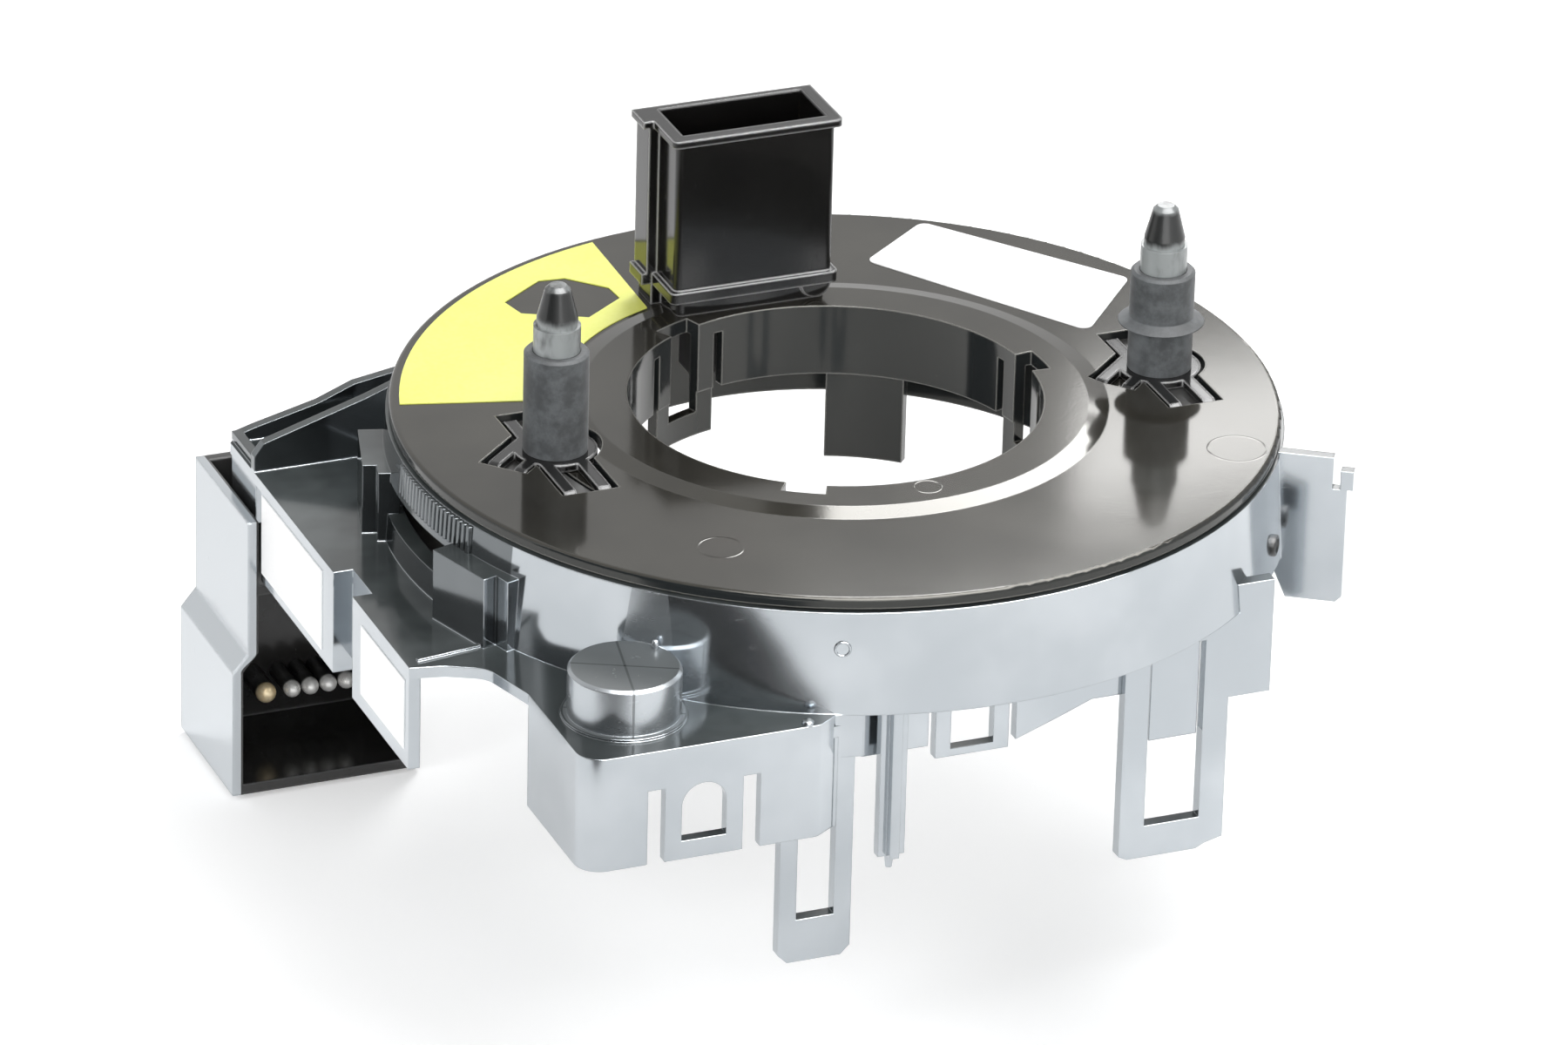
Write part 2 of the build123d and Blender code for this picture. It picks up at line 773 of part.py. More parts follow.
# Right snap leg with a tongue in its window, and the wall that carries it up beside the skirt
with BuildPart() as skirt_core:
    with Locations((0, 0, floor_low)):
        Cone(skirt_low_radius, skirt_top_radius, skirt_top - floor_low,
             align=(Align.CENTER, Align.CENTER, Align.MIN))
with BuildPart() as right_snap_leg:
    right_back = right_leg_face + leg_thickness
    add(upright_wall(
        (
            (right_leg_left, floor_low),
            (right_leg_left, right_leg_low + leg_corner / 2),
            (right_leg_left + leg_corner, right_leg_low),
            (right_leg_right - 3 * leg_corner, right_leg_low),
            (right_leg_right - 2 * leg_corner, right_leg_low + leg_corner / 2),
            (right_leg_right, right_leg_low + leg_corner),
            (right_leg_right, right_wall_low),
            (right_wall_right, right_wall_low),
            (right_wall_right, right_wall_top),
            (right_leg_right, right_wall_top),
            (right_leg_right, floor_low),
        ), right_leg_face, right_back))
    add(skirt_core.part, mode=Mode.SUBTRACT)
    add(slab((right_leg_left + right_leg_rail, right_leg_face - cut_margin, right_leg_window_low),
             (right_leg_right - right_leg_rail, right_back + cut_margin, floor_low - 2 * wall)),
        mode=Mode.SUBTRACT)
    tongue_side = right_leg_rail + wall / 3
    add(slab((right_leg_left + tongue_side, right_leg_face + wall / 2, right_tongue_low),
             (right_leg_right - tongue_side, right_back + wall / 2, floor_low)))
right_snap_leg.part.label = "right_snap_leg"
export_step(right_snap_leg.part, "parts/right_snap_leg.step")


# Lower front wall in two panels, with a windowed clip between them
wall_back = low_wall_face + wall
with BuildPart() as front_wall:
    add(upright_wall(
        (
            (low_wall_left, floor_low),
            (low_wall_left, low_wall_low),
            (low_clip_left - low_gap, low_wall_low),
            (low_clip_left - low_gap, floor_low),
        ), low_wall_face, wall_back))
    add(upright_wall(
        (
            (low_clip_right + low_gap, floor_low),
            (low_clip_right + low_gap, low_clip_low + low_wall_corner),
            *low_wall_slant,
            (right_leg_left, low_wall_slant[-1][1]),
            (right_leg_left, floor_low),
        ), low_wall_face, wall_back))
front_wall.part.label = "front_wall"
export_step(front_wall.part, "parts/front_wall.step")

with BuildPart() as low_clip:
    add(slab((low_clip_left, low_wall_face, low_clip_low), (low_clip_right, wall_back, floor_low)))
    add(slab((low_clip_left + low_clip_rail, low_wall_face - cut_margin, low_clip_low + low_clip_rail / 2),
             (low_clip_right - low_clip_rail, wall_back + cut_margin, floor_low - 2 * wall)),
        mode=Mode.SUBTRACT)
low_clip.part.label = "low_clip"
export_step(low_clip.part, "parts/low_clip.step")


# Centring prong, a cross in section with a blunt point
with BuildPart() as centring_prong:
    prong_shoulder = prong_low + prong_tip
    for x_half, y_half in ((prong_width / 2, prong_rib / 2), (prong_rib / 2, prong_width / 2)):
        add(slab((prong_x - x_half, prong_y - y_half, prong_shoulder),
                 (prong_x + x_half, prong_y + y_half, floor_low)))
    with Locations((prong_x, prong_y, prong_low)):
        Cone(prong_rib / 3, prong_rib / 2, prong_tip, align=(Align.CENTER, Align.CENTER, Align.MIN))
centring_prong.part.label = "centring_prong"
export_step(centring_prong.part, "parts/centring_prong.step")


# Harness box: the wall under the plate's left edge, with a channel in its middle
with BuildPart() as harness_box:
    add(slab((plate_left, box_front, box_low), (plate_left + wall, box_back, plate_low)))
    add(slab((plate_left - cut_margin, channel_front, box_low - cut_margin),
             (plate_left + channel_depth, channel_back, plate_low)), mode=Mode.SUBTRACT)
    channel_bottom = plate_left + channel_depth
    add(slab((channel_bottom, channel_front - wall, box_low + wall),
             (channel_bottom + wall, channel_back + wall, plate_low)))
    for side_y in (channel_front - wall, channel_back):
        add(slab((plate_left, side_y, box_low), (channel_bottom + wall, side_y + wall, plate_low)))
harness_box.part.label = "harness_box"
export_step(harness_box.part, "parts/harness_box.step")


# Harness socket: a deep box open to the front, with a hollow neck that seats under the plate
cavity_end = socket_front + socket_cavity_depth
with BuildPart() as harness_socket:
    add(upright_wall(
        (
            (socket_left, socket_low),
            (socket_left, socket_shoulder),
            (socket_neck_left, socket_shoulder + socket_shoulder_rise),
            (socket_neck_left, socket_neck_top),
            (socket_neck_right, socket_neck_top),
            (socket_neck_right, plate_low),
            (socket_right, plate_low),
            (socket_right, socket_low),
        ), socket_front, socket_back))
    add(upright_wall(
        (
            (socket_left + socket_wall, socket_low + socket_wall),
            (socket_left + socket_wall, socket_shoulder),
            (socket_neck_left + socket_wall, socket_shoulder + socket_shoulder_rise),
            (socket_neck_left + socket_wall, socket_ceiling),
            (socket_right - socket_wall, socket_ceiling),
            (socket_right - socket_wall, socket_low + socket_wall),
        ), socket_front - cut_margin, cavity_end), mode=Mode.SUBTRACT)
    add(slab((socket_neck_left + socket_wall, socket_front - cut_margin, socket_ceiling + socket_wall),
             (socket_right - socket_wall, socket_back - socket_wall, plate_low + cut_margin)),
        mode=Mode.SUBTRACT)
    pin_hole = harness_pin_size + 2 * seat_gap
    for place_x in harness_pin_places:
        add(slab((place_x - pin_hole / 2, cavity_end - cut_margin, harness_pin_z - pin_hole / 2),
                 (place_x + pin_hole / 2, socket_back + cut_margin, harness_pin_z + pin_hole / 2)),
            mode=Mode.SUBTRACT)
    with BuildSketch(Plane.XZ.offset(-socket_back)):
        with Locations((airbag_pin_x, harness_pin_z)):
            Circle(airbag_pin_radius + seat_gap)
    extrude(amount=socket_back - cavity_end, mode=Mode.SUBTRACT)
harness_socket.part.label = "harness_socket"
export_step(harness_socket.part, "parts/harness_socket.step")


# Harness pins: square blades with chamfered tips, through the back wall of the socket
harness_pin_tip = socket_front + pin_tip_depth
with BuildPart() as harness_pins:
    for place_x in harness_pin_places:
        add(slab((place_x - harness_pin_size / 2, harness_pin_tip, harness_pin_z - harness_pin_size / 2),
                 (place_x + harness_pin_size / 2, socket_back, harness_pin_z + harness_pin_size / 2)))
    tip_edges = harness_pins.faces().filter_by(Axis.Y).group_by(Axis.Y)[0].edges()
    chamfer(tip_edges, harness_pin_size / 4)
harness_pins.part.label = "harness_pins"
export_step(harness_pins.part, "parts/harness_pins.step")

with BuildPart() as airbag_pin:
    with BuildSketch(Plane.XZ.offset(-socket_back)):
        with Locations((airbag_pin_x, harness_pin_z)):
            Circle(airbag_pin_radius)
    extrude(amount=socket_back - harness_pin_tip)
    chamfer(airbag_pin.edges().group_by(Axis.Y)[0], airbag_pin_radius / 3)
airbag_pin.part.label = "airbag_pin"
export_step(airbag_pin.part, "parts/airbag_pin.step")


# Connector shroud: an open box on a ledge and a set-back plinth that follows the raised ring
with BuildPart() as connector_shroud:
    for outset, z_low, z_high in (
        (-ledge_outset, 0, shroud_low - ledge_height),
        (ledge_outset, shroud_low - ledge_height, shroud_low),
        (0, shroud_low, shroud_top - shroud_rim_height),
        (shroud_rim, shroud_top - shroud_rim_height, shroud_top),
    ):
        with BuildSketch(Plane.XY.offset(z_low)):
            with BuildLine():
                Polyline(
                    (shroud_left - outset, shroud_front - outset),
                    (shroud_right + outset, shroud_front - outset),
                    (shroud_right + outset, shroud_back),
                    (shroud_left - shroud_step - outset, shroud_back),
                    (shroud_left - shroud_step - outset, shroud_step_front),
                    (shroud_left - outset, shroud_step_front),
                    close=True,
                )
            make_face()
        extrude(amount=z_high - z_low)
    upright = connector_shroud.edges().filter_by(Axis.Z)
    upright = upright.filter_by(lambda edge: edge.center().Y < shroud_step_front - cut_margin)
    fillet(upright, shroud_corner / 2)
    add(slab((shroud_left + shroud_wall, shroud_front + shroud_wall, shroud_low),
             (shroud_right - shroud_wall, shroud_back - shroud_wall, shroud_top + cut_margin)),
        mode=Mode.SUBTRACT)
    half_round_top = shroud_low - ledge_height
    with BuildSketch(Plane.XZ.offset(-shroud_front - ledge_outset)):
        with BuildLine():
            CenterArc((half_round_x, half_round_top), half_round_radius, 180, 180)
            Line((half_round_x - half_round_radius, half_round_top),
                 (half_round_x + half_round_radius, half_round_top))
        make_face()
    extrude(amount=half_round_thickness)
    with BuildSketch(Plane.XZ):
        with BuildLine():
            Polyline(
                (0, disc_low),
                (0, ring_height),
                (ring_flat_radius, ring_height),
                (ring_foot_radius, 0),
                (ring_foot_radius, disc_low),
                close=True,
            )
        make_face()
    revolve(axis=Axis.Z, mode=Mode.SUBTRACT)
connector_shroud.part.label = "connector_shroud"
export_step(connector_shroud.part, "parts/connector_shroud.step")


# Contact block in the shroud, with the two rows of contacts that stand in it
contact_middle_x = (shroud_left + shroud_right) / 2
contact_middle_y = (shroud_front + shroud_back) / 2
with BuildPart() as contact_block:
    block_inset = shroud_wall + seat_gap
    add(slab((shroud_left + block_inset, shroud_front + block_inset, shroud_low),
             (shroud_right - block_inset, shroud_back - block_inset, contact_floor)))
    with BuildSketch(Plane.XY.offset(shroud_low)):
        with Locations((contact_middle_x, contact_middle_y)):
            with GridLocations(contact_pitch, contact_row_pitch, contact_columns, contact_rows):
                Rectangle(contact_size + 2 * seat_gap, contact_size + 2 * seat_gap)
    extrude(amount=contact_floor - shroud_low, mode=Mode.SUBTRACT)
contact_block.part.label = "contact_block"
export_step(contact_block.part, "parts/contact_block.step")

with BuildPart() as shroud_contacts:
    with BuildSketch(Plane.XY.offset(shroud_low)):
        with Locations((contact_middle_x, contact_middle_y)):
            with GridLocations(contact_pitch, contact_row_pitch, contact_columns, contact_rows):
                Rectangle(contact_size, contact_size)
    extrude(amount=contact_floor - shroud_low + contact_height)
    chamfer(shroud_contacts.edges().group_by(Axis.Z)[-1], contact_size / 4)
shroud_contacts.part.label = "shroud_contacts"
export_step(shroud_contacts.part, "parts/shroud_contacts.step")


# Lead block under the disc, between the collar and the drum, where the shroud's leads end
with BuildPart() as lead_block:
    collar_radius = bore_radius + collar_wall
    add(slab((-lead_block_length / 2, collar_radius + lead_block_gap, disc_low - lead_block_height),
             (lead_block_length / 2, drum_radius - drum_flange - lead_block_gap * 2, disc_low)))
    chamfer(lead_block.edges().filter_by(Axis.Z), lead_block_bevel)
lead_block.part.label = "lead_block"
export_step(lead_block.part, "parts/lead_block.step")


# Labels without print: two on the disc, two on the harness box
window_radius = (label_inner_radius + label_outer_radius) / 2
window_x = window_radius * cos(radians(label_window_angle))
window_y = window_radius * sin(radians(label_window_angle))
with BuildPart() as yellow_label:
    with BuildSketch():
        with BuildLine():
            outer = CenterArc((0, 0), label_outer_radius, label_start, label_end - label_start)
            inner = CenterArc((0, 0), label_inner_radius, label_inner_start, label_inner_sweep)
            Line(outer @ 0, inner @ 0)
            Line(inner @ 1, outer @ 1)
        make_face()
        with BuildLine():
            Polyline(*((window_x + x, window_y + y) for x, y in label_window_offsets), close=True)
        make_face(mode=Mode.SUBTRACT)
    extrude(amount=label_thickness)
yellow_label.part.label = "yellow_label"
export_step(yellow_label.part, "parts/yellow_label.step")

with BuildPart() as white_label:
    with BuildSketch():
        with BuildLine():
            Polyline(*white_label_corners, close=True)
        make_face()
        fillet(vertices(), label_rim_margin)
        Circle(label_inner_radius, mode=Mode.SUBTRACT)
    extrude(amount=label_thickness)
white_label.part.label = "white_label"
export_step(white_label.part, "parts/white_label.step")

for name, (y_low, y_high, z_low, z_high) in housing_labels.items():
    with BuildPart() as housing_label:
        add(slab((plate_left - label_thickness, y_low, z_low), (plate_left, y_high, z_high)))
    housing_label.part.label = name
    export_step(housing_label.part, f"parts/{name}.step")
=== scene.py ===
import json
from math import cos, pi, radians, sin

import bmesh
import bpy
import numpy as np
from mathutils import Matrix, Vector


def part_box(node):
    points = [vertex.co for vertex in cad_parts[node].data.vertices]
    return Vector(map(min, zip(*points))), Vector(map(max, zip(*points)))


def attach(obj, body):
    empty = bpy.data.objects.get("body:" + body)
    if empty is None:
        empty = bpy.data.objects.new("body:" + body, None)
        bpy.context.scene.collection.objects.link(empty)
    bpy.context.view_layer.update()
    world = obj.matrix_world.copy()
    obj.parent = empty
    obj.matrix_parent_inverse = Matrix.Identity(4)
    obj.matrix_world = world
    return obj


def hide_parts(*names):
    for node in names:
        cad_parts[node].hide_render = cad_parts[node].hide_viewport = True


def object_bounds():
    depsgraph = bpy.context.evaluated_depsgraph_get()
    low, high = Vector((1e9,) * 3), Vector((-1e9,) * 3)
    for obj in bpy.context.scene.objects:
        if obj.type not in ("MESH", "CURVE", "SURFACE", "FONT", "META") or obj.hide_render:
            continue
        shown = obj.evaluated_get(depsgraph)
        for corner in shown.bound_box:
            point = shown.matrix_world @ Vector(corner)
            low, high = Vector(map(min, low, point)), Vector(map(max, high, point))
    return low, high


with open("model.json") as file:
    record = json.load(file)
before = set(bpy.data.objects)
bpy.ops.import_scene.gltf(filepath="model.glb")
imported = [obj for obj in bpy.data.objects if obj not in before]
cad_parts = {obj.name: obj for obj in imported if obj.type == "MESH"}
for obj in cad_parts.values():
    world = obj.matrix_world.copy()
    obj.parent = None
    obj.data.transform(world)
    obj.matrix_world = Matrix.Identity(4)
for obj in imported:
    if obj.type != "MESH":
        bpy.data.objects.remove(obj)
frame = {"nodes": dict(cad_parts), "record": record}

cadLow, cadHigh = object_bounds()
nodes = frame["nodes"]
mm = 0.001


# Shader maths: a socket in a wrapper, so that sums and products of sockets can be written plainly
class Val:
    def __init__(self, tree, socket):
        self.tree = tree
        self.socket = socket

    def math(self, operation, *others):
        return self.tree.make("ShaderNodeMath", {"operation": operation}, [self, *others])[0]

    def __add__(self, other):
        return self.math("ADD", other)

    def __sub__(self, other):
        return self.math("SUBTRACT", other)

    def __rsub__(self, other):
        return self.tree.number(other).math("SUBTRACT", self)

    def __mul__(self, other):
        return self.math("MULTIPLY", other)

    def __pow__(self, other):
        return self.math("POWER", other)

    __radd__ = __add__
    __rmul__ = __mul__

    def step(self, start, full):  # 0 at start, 1 at full, smooth between, and start may be the larger one
        return self.tree.make("ShaderNodeMapRange", {"interpolation_type": "SMOOTHSTEP"},
                              {"Value": self, "From Min": start, "From Max": full})[0]

    def stepMm(self, start, full):  # the same between two lengths in millimetres
        return self.step(start * mm, full * mm)

    def off(self, length):  # how far a length is from another one in millimetres
        return (self - length * mm).math("ABSOLUTE")


# Outputs of a node, by name or number
class Outputs:
    def __init__(self, tree, node):
        self.tree = tree
        self.node = node

    def __getitem__(self, key):
        return Val(self.tree, self.node.outputs[key])


# Sockets of a Mix node for each kind of value: the two that are mixed, and the result
mixSockets = {"RGBA": (6, 7, 2), "VECTOR": (4, 5, 1)}


def setStops(ramp, stops):
    while len(ramp) < len(stops):
        ramp.new(0.5)  # its place is set below
    for element, (place, colour) in zip(ramp, stops):
        element.position = place
        element.color = colour


# Node tree of a material or of the sky
class Tree:
    def __init__(self, tree):
        self.tree = tree
        self.tree.nodes.clear()

    def link(self, socket, value):
        if isinstance(value, Val):
            self.tree.links.new(value.socket, socket)
        else:
            socket.default_value = value

    def make(self, kind, settings, values):  # settings first, then the values or links of the sockets
        node = self.tree.nodes.new(kind)
        for key, value in settings.items():
            if key == "stops":
                setStops(node.color_ramp.elements, value)
            else:
                setattr(node, key, value)
        pairs = values.items() if isinstance(values, dict) else enumerate(values)
        for key, value in pairs:
            self.link(node.inputs[key], value)
        return Outputs(self, node)

    def number(self, value):
        made = self.make("ShaderNodeValue", {}, {})[0]
        made.socket.default_value = value
        return made

    def mix(self, share, low, high, kind="RGBA"):
        lowSocket, highSocket, result = mixSockets[kind]
        values = {0: share, lowSocket: low, highSocket: high}
        return self.make("ShaderNodeMix", {"data_type": kind}, values)[result]

    def seen(self):  # 1 for the rays of the camera, of gloss and of clear material, 0 for those that light
        path = self.make("ShaderNodeLightPath", {}, {})
        rays = path["Is Camera Ray"] + path["Is Glossy Ray"] + path["Is Transmission Ray"]
        return rays.math("MINIMUM", 1.0)


# Rounded edges in a material, where plain and full are cosines between the plain normal and the rounded one
edgeLook = {"samples": 4, "plain": 0.97, "full": 0.8}


# Material whose patterns read the piece's own coordinates; lengths go in as millimetres
class Shade(Tree):
    def __init__(self, name):
        self.material = bpy.data.materials.new(name)
        self.material.use_nodes = True
        super().__init__(self.material.node_tree)
        coordinates = self.make("ShaderNodeTexCoord", {}, {})
        self.point = coordinates["Object"]
        self.normal = coordinates["Normal"]

    def axis(self, which):
        return self.make("ShaderNodeSeparateXYZ", {}, {"Vector": self.point})[which]

    def upward(self):  # 1 where the surface faces straight up, 0 where it is upright
        return self.make("ShaderNodeSeparateXYZ", {}, {"Vector": self.normal})["Z"]

    def radius(self, centre=(0, 0)):
        dx = self.axis("X") - centre[0] * mm
        dy = self.axis("Y") - centre[1] * mm
        return (dx * dx + dy * dy) ** 0.5

    def noise(self, scale, detail=3.0, roughness=0.55, stretch=(1, 1, 1), distortion=0.0):
        place = self.make("ShaderNodeMapping", {}, {"Vector": self.point, "Scale": stretch})[0]
        return self.make("ShaderNodeTexNoise", {}, {"Vector": place, "Scale": scale, "Detail": detail,
                                                    "Roughness": roughness, "Distortion": distortion})[0]

    def rounded(self, reach):
        return self.make("ShaderNodeBevel", {"samples": edgeLook["samples"]}, {"Radius": reach * mm})[0]

    def plain(self):
        return self.make("ShaderNodeNewGeometry", {}, {})["Normal"]

    def edges(self, reach):  # 1 on edges and corners, where the rounded normal leaves the plain one
        agree = self.make("ShaderNodeVectorMath", {"operation": "DOT_PRODUCT"},
                          [self.rounded(reach), self.plain()])["Value"]
        return agree.step(edgeLook["plain"], edgeLook["full"])

    def bump(self, height, strength, depth=0.02, edge=None, sharp=None):  # not rounded where sharp is 1
        values = {"Height": height, "Strength": strength, "Distance": depth * mm}
        if edge:
            values["Normal"] = self.rounded(edge)
        if sharp:
            values["Normal"] = self.mix(sharp, values["Normal"], self.plain(), "VECTOR")
        return self.make("ShaderNodeBump", {}, values)[0]

    def surface(self, values):
        shader = self.make("ShaderNodeBsdfPrincipled", {}, values)[0]
        self.make("ShaderNodeOutputMaterial", {}, {"Surface": shader})
        return self.material


def grey(level, warm=0.0):  # warm is the share by which red is raised and blue is lowered
    return (level * (1 + warm), level, level * (1 - warm), 1)


# Round boss on the plate, with dark seams: thin lines on upright planes through its axis, at angles in
# degrees
bossLook = {
    "centre": (-42.0, -41.3), "radius": 6.9, "radiusFade": 0.05, "low": -13.9, "lowFade": 0.2,
    # top: the boss's upward face, painted less dark than the plate's painted shade
    "top": (0.13, 0.142, 0.146, 1), "rough": 0.14,
    "seams": (78, 154), "halfWidth": 0.09, "seamShare": 0.6, "dark": (0.03, 0.035, 0.035, 1),
}


def onBoss(shade):  # 1 on the boss, 0 elsewhere
    look = bossLook
    inside = shade.radius(look["centre"]).stepMm(look["radius"] + look["radiusFade"], look["radius"])
    return inside * shade.axis("Z").stepMm(look["low"], look["low"] + look["lowFade"])


def bossSeams(shade):  # up to 1 on the planes, 0 off them, on and off the boss
    look = bossLook
    found = 0
    dx = shade.axis("X") - look["centre"][0] * mm
    dy = shade.axis("Y") - look["centre"][1] * mm
    for turn in look["seams"]:
        off = (dx * sin(radians(turn)) - dy * cos(radians(turn))).math("ABSOLUTE")
        found = off.stepMm(2 * look["halfWidth"], look["halfWidth"]) + found
    return (found * look["seamShare"]).math("MINIMUM", 1.0)


# Painted shade on the walls between the plate and the disc: above low, to the left of right, behind front
# and outside radius, each with the length over which it fades
paintedShadeLook = {
    "low": -13.7, "lowFade": 0.1, "right": -38.0, "rightFade": 3, "front": -21.0, "frontFade": 0.2,
    "radius": 51.5, "radiusFade": 0.2, "share": 0.72,
}


def paintedShade(shade):
    look = paintedShadeLook
    above = shade.axis("Z").stepMm(look["low"] - look["lowFade"], look["low"])
    left = shade.axis("X").stepMm(look["right"], look["right"] - look["rightFade"])
    behind = shade.axis("Y").stepMm(look["front"] - look["frontFade"], look["front"])
    outside = shade.radius().stepMm(look["radius"] - look["radiusFade"], look["radius"])
    return above * left * behind * outside * look["share"]


# Stator moulding: painted light and shade by facing, pale metal-like walls and dark upward faces, cloudy
# flow marks and fine scuffs. Its pieces meet at the height called seam, where edges stay sharp
statorLook = {
    "wall": (0.51, 0.54, 0.565, 1), "wallDeep": (0.42, 0.45, 0.475, 1), "metal": 0.96,
    # top and topPale: upward faces painted dark as shade
    "top": (0.050, 0.057, 0.058, 1), "topPale": (0.10, 0.112, 0.113, 1),
    "cloud": {"scale": 38, "detail": 4, "roughness": 0.6},
    "flow": {"scale": 16, "detail": 2, "roughness": 0.5, "stretch": (1, 1, 2.5), "distortion": 0.4},
    "grain": {"scale": 2600, "detail": 2},
    "scuff": {"scale": 260, "detail": 6, "roughness": 0.75, "stretch": (1, 1, 6)},
    "upwardRange": (0.55, 0.9), "wallRange": (0.38, 0.62), "topRange": (0.4, 0.65),
    "scuffRange": (0.62, 0.7), "cloudShare": 0.6, "rough": 0.09, "cloudRough": 0.07, "scuffRough": 0.1,
    "grainBump": 0.5, "flowBump": 3, "bump": 0.06, "edge": 0.22, "seam": -15.4, "seamRange": (0.5, 0.35),
}


def statorPlastic():
    look = statorLook
    shade = Shade("stator moulding")
    upward = shade.upward().step(*look["upwardRange"])
    cloud = shade.noise(**look["cloud"])
    flow = shade.noise(**look["flow"])
    grain = shade.noise(**look["grain"])
    scuff = shade.noise(**look["scuff"]).step(*look["scuffRange"])
    boss = onBoss(shade)
    seams = bossSeams(shade) * boss
    marks = cloud * look["cloudShare"] + flow * (1 - look["cloudShare"])
    wall = shade.mix(marks.step(*look["wallRange"]), look["wallDeep"], look["wall"])
    # painted shade: these walls take the dark top colour
    wall = shade.mix(paintedShade(shade), wall, look["top"])
    # upward faces painted dark as shade, the boss's top less dark
    top = shade.mix(cloud.step(*look["topRange"]), look["top"], look["topPale"])
    top = shade.mix(boss, top, bossLook["top"])
    rough = look["rough"] + cloud * look["cloudRough"] + scuff * look["scuffRough"]
    atSeam = shade.axis("Z").off(look["seam"]).stepMm(*look["seamRange"])
    relief = grain * look["grainBump"] + flow * look["flowBump"]
    return shade.surface({
        "Base Color": shade.mix(seams, shade.mix(upward, wall, top), bossLook["dark"]),
        "Roughness": rough + boss * bossLook["rough"],
        "Metallic": (1 - upward) * (1 - seams) * look["metal"],
        "Normal": shade.bump(relief, look["bump"], edge=look["edge"], sharp=atSeam),
    })


# Circles that the ejector pins left on the disc: centre and radius of each, and the line's width
ejectorMarks = {
    "circles": (((38.9, -27.6), 3.4), ((0.8, -26.1), 1.6), ((-27.0, -32.0), 2.6)), "width": 0.14,
}


def ejectorRings(shade):  # 1 on the thin circles, 0 elsewhere
    rings = 0
    for centre, radius in ejectorMarks["circles"]:
        rings = shade.radius(centre).off(radius).stepMm(ejectorMarks["width"], 0) + rings
    return rings


# Rotor moulding: dark and glossy, with faint ripples, dust, pale edges that are painted highlights and
# the ejector pins' circles
rotorLook = {
    "dark": (0.017, 0.016, 0.013, 1), "pale": (0.040, 0.0375, 0.031, 1), "gloss": (1.0, 0.975, 0.90, 1),
    # the pale edge colour below is a painted highlight
    "wall": (0.016, 0.0185, 0.0195, 1), "dusty": (0.2, 0.2, 0.19, 1), "worn": (0.34, 0.335, 0.31, 1),
    "cloud": {"scale": 30, "detail": 4, "roughness": 0.6},
    "grain": {"scale": 2200, "detail": 2},
    "ripple": {"scale": 90, "detail": 3, "roughness": 0.5},
    "dust": {"scale": 900, "detail": 8, "roughness": 0.8},
    "toneRange": (0.3, 0.7), "upwardRange": (0.5, 0.8), "dustRange": (0.66, 0.74), "dustShare": 0.35,
    "wornReach": 0.35, "rough": 0.075, "cloudRough": 0.05, "dustRough": 0.2,
    "rippleBump": 4, "ringBump": 12, "bump": 0.08, "edge": 0.25,
}


def rotorPlastic():
    look = rotorLook
    shade = Shade("rotor moulding")
    cloud = shade.noise(**look["cloud"])
    grain = shade.noise(**look["grain"])
    ripple = shade.noise(**look["ripple"])
    dust = shade.noise(**look["dust"]).step(*look["dustRange"])
    colour = shade.mix(cloud.step(*look["toneRange"]), look["dark"], look["pale"])
    colour = shade.mix(shade.upward().step(*look["upwardRange"]), look["wall"], colour)
    colour = shade.mix(dust * look["dustShare"], colour, look["dusty"])
    # painted highlights on the edges
    colour = shade.mix(shade.edges(look["wornReach"]), colour, look["worn"])
    relief = grain + ripple * look["rippleBump"] + ejectorRings(shade) * look["ringBump"]
    return shade.surface({
        "Base Color": colour, "Specular Tint": look["gloss"],
        "Roughness": look["rough"] + cloud * look["cloudRough"] + dust * look["dustRough"],
        "Normal": shade.bump(relief, look["bump"], edge=look["edge"]),
    })


# Mouth of the shroud, inside which the edges get no painted highlight above the height low: its middle
# and half its size
mouth = {"centre": (-0.4, 30.0), "half": (9.2, 4.2), "sideFade": 0.1, "low": 1.0, "lowFade": 0.5}


def inMouth(shade):  # 1 inside the mouth, 0 elsewhere
    found = shade.axis("Z").stepMm(mouth["low"], mouth["low"] + mouth["lowFade"])
    for which, centre, half in zip("XY", mouth["centre"], mouth["half"]):
        found = shade.axis(which).off(centre).stepMm(half, half - mouth["sideFade"]) * found
    return found


# Outer side of the socket, with a painted sheen as pale as the stator: it steps inwards above the shoulder
sheenSideLook = {"left": -63.5, "fade": 0.1, "shoulder": -38.9, "rise": 2.3, "inset": 1.9}


def onSheenSide(shade):  # 1 on that side, 0 elsewhere
    side = sheenSideLook
    above = shade.axis("Z").stepMm(side["shoulder"], side["shoulder"] + side["rise"])
    across = shade.axis("X") - above * (side["inset"] * mm)
    return across.stepMm(side["left"] + side["fade"], side["left"])


# Shroud, socket and terminal moulding: near black and glossy, with painted highlights on its pale edges
blackLook = {
    "cloud": {"scale": 60, "detail": 4, "roughness": 0.6},
    "grain": {"scale": 2400, "detail": 2},
    "scratch": {"scale": 300, "detail": 5, "roughness": 0.7, "stretch": (7, 7, 1)},
    "toneRange": (0.3, 0.7), "scratchRange": (0.64, 0.7), "warm": 0.03, "paleRatio": 1.9,
    "cloudRough": 0.08, "scratchRough": 0.1, "coat": 0.1, "coatRough": 0.06,
    "scratchBump": 2, "bump": 0.1, "edge": 0.55, "wornReach": 0.42,
}


